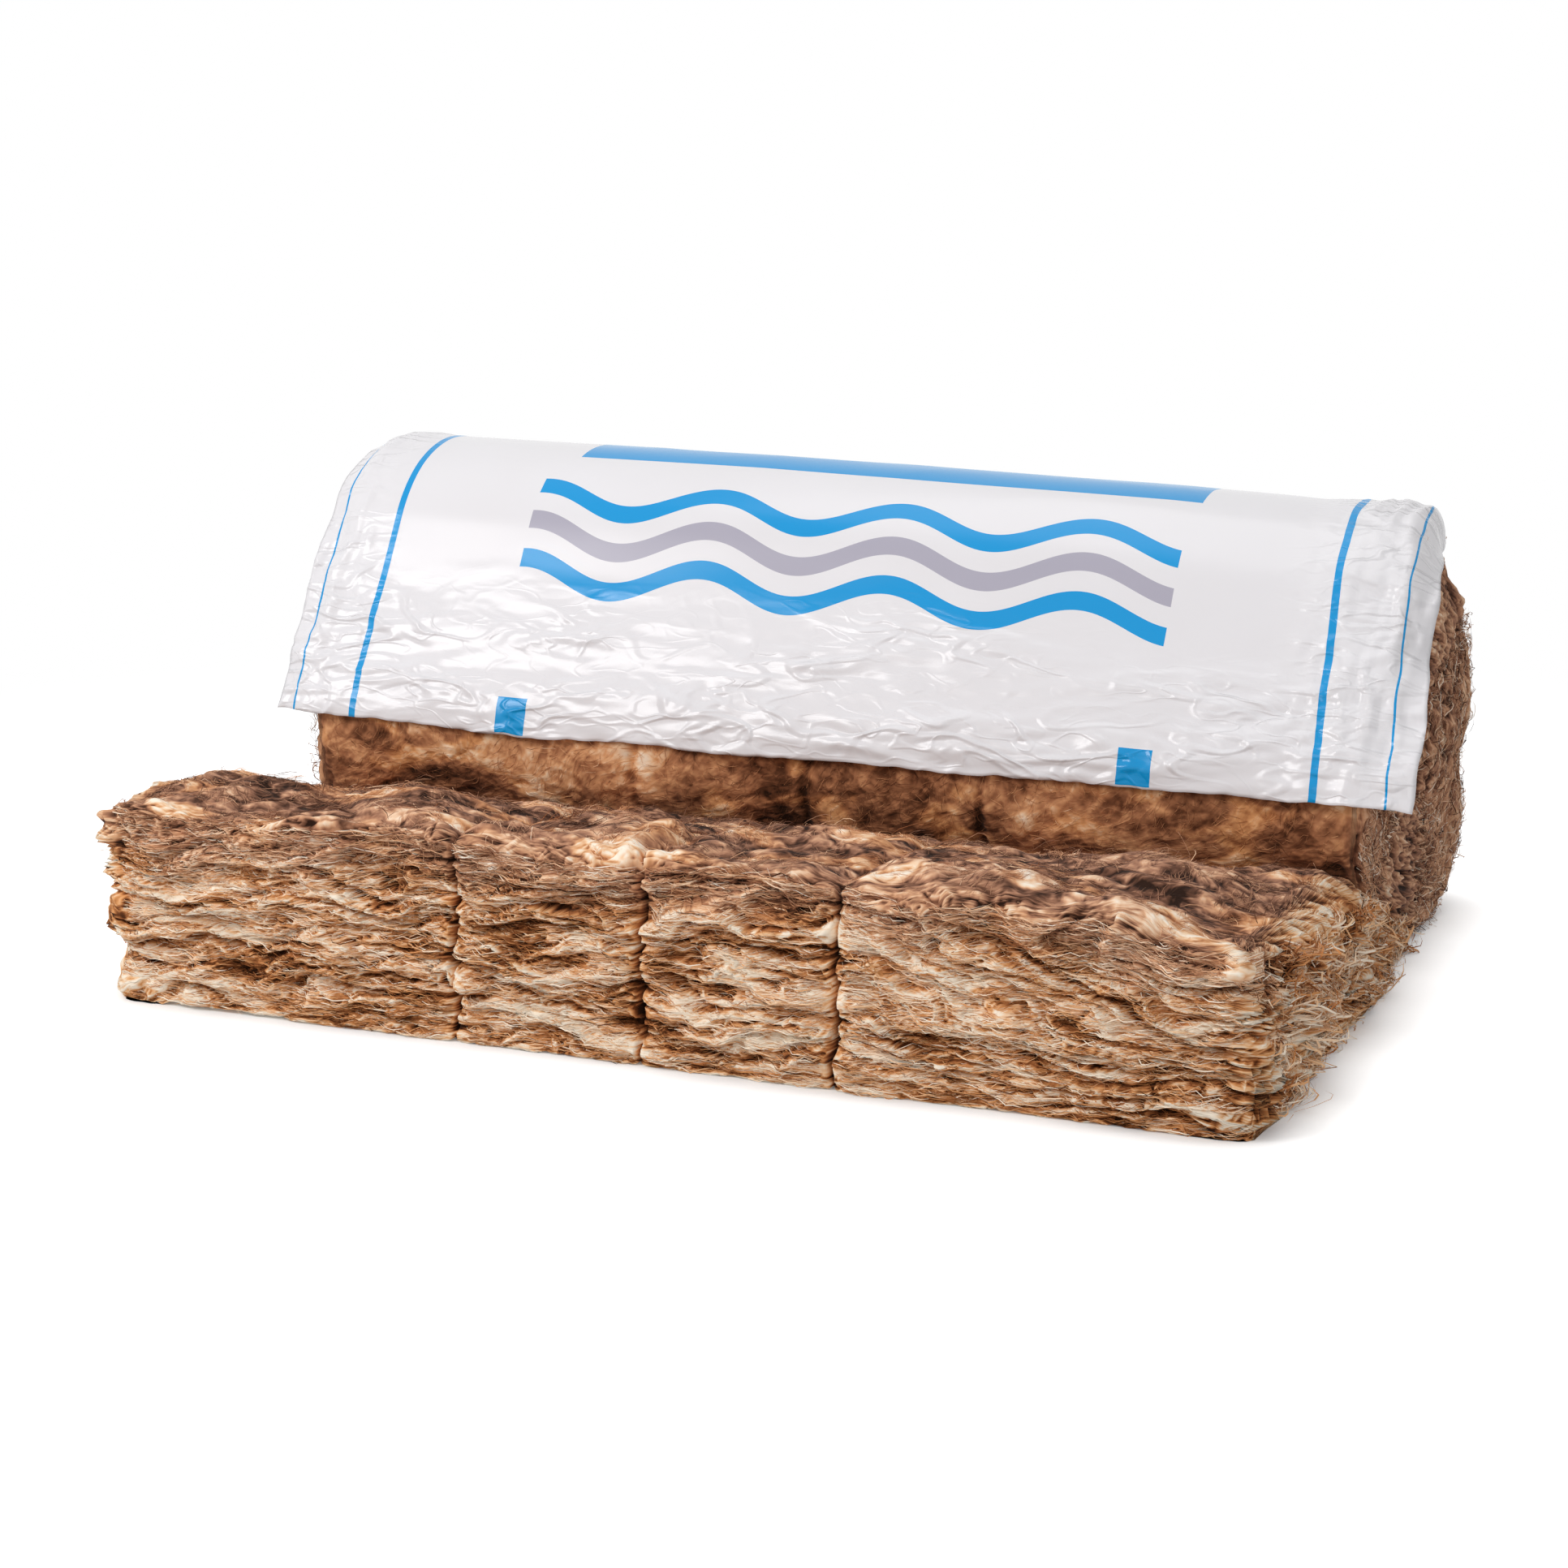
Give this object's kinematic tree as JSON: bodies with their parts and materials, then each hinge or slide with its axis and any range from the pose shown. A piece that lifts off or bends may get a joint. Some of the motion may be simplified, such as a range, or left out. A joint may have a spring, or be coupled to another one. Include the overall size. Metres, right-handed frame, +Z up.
{
  "type": "insulation roll",
  "caption": "Partly unrolled mineral wool insulation roll: a coiled quilt with a recovered free tail, still under its printed wrapping film.",
  "frame": {"origin": "on the floor, at the middle of the whole object's box", "axes": "+X along the roll's axis, -Y the cut end of the tail, +Z up"},
  "size_m": [1.23, 0.9569, 0.4819],
  "materials": {
    "wool": "matt matted glass fibre, cream to dark brown",
    "film": "glossy white polyethylene film with blue and grey print"
  },
  "bodies": {
    "root": {"wool_quilt": "wool", "wrap_film": "film"}
  },
  "joints": []
}
